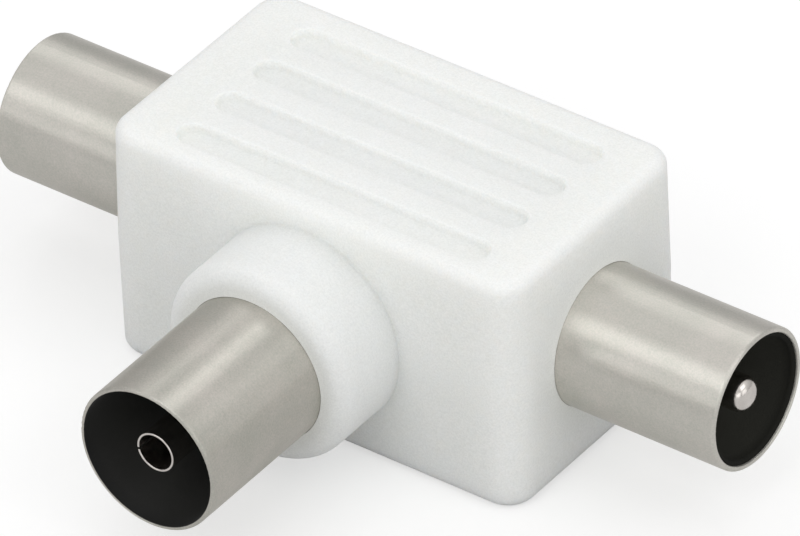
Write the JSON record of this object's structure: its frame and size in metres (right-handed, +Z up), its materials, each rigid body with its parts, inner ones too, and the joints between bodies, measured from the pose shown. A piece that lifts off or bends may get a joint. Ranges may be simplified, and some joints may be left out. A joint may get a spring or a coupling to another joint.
{
  "type": "coaxial splitter",
  "caption": "White moulded aerial splitter: coaxial plugs at both ends of a grooved block and a coaxial socket in a round collar on its front.",
  "frame": {"origin": "centre of the underside, straight below the point where the three connectors' axes meet", "axes": "+X along the right-hand plug's axis, -Y along the socket's axis, +Z up; the axes lie 8.6 mm above the underside"},
  "size_m": [0.055, 0.0348, 0.0172],
  "materials": {
    "white_plastic": "satin moulding, fine grain",
    "nickel_plate": "satin nickel plate on brass",
    "black_plastic": "matt",
    "tinplate": "bright tin",
    "tinned_wire": "tinned copper",
    "solder": "dull solder"
  },
  "bodies": {
    "root": {"housing": "white_plastic", "left_plug_shell": "nickel_plate", "right_plug_shell": "nickel_plate", "socket_shell": "nickel_plate", "left_plug_pin": "nickel_plate", "right_plug_pin": "nickel_plate", "socket_contact": "nickel_plate", "left_plug_insulator": "black_plastic", "right_plug_insulator": "black_plastic", "socket_insulator": "black_plastic", "screen_box": "tinplate", "screen_lid": "tinplate", "through_conductor": "tinned_wire", "branch_conductor": "tinned_wire", "junction_solder": "solder", "left_pin_solder": "solder", "right_pin_solder": "solder", "contact_solder": "solder", "left_shell_solder": "solder", "right_shell_solder": "solder", "socket_shell_solder": "solder"}
  },
  "joints": []
}
